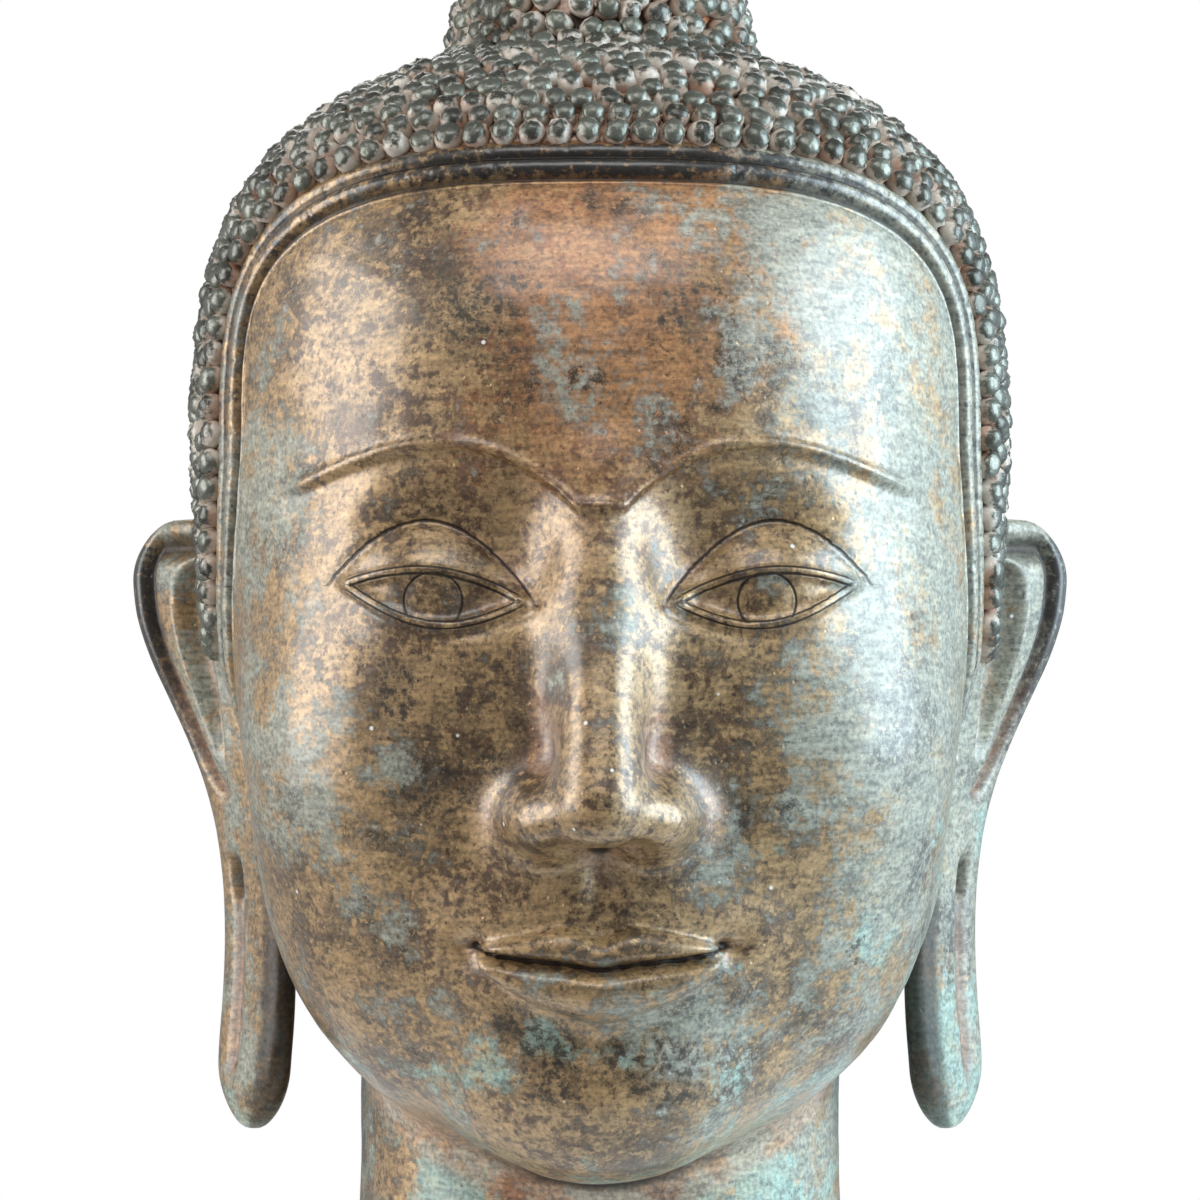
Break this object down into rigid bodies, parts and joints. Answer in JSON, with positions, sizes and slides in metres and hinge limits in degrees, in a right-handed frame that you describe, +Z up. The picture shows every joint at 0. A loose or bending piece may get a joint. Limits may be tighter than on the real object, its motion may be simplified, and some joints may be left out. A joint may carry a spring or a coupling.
{
  "type": "buddha head",
  "caption": "Cast bronze Buddha head with a topknot, tight curls, a double band along the hairline and long ear lobes, cut flat under the neck to stand on a base",
  "frame": {"origin": "the middle of the bounding box on the flat cut under the neck, which rests on a base", "axes": "+Z up along the height, the face looks along -Y, X runs across the head, whose two sides are alike"},
  "size_m": [0.3982, 0.424, 0.6151],
  "materials": {
    "cast_bronze": "cast bronze with an aged brown and green patina, satin"
  },
  "bodies": {
    "root": {"buddha_head": "cast_bronze"}
  },
  "joints": []
}
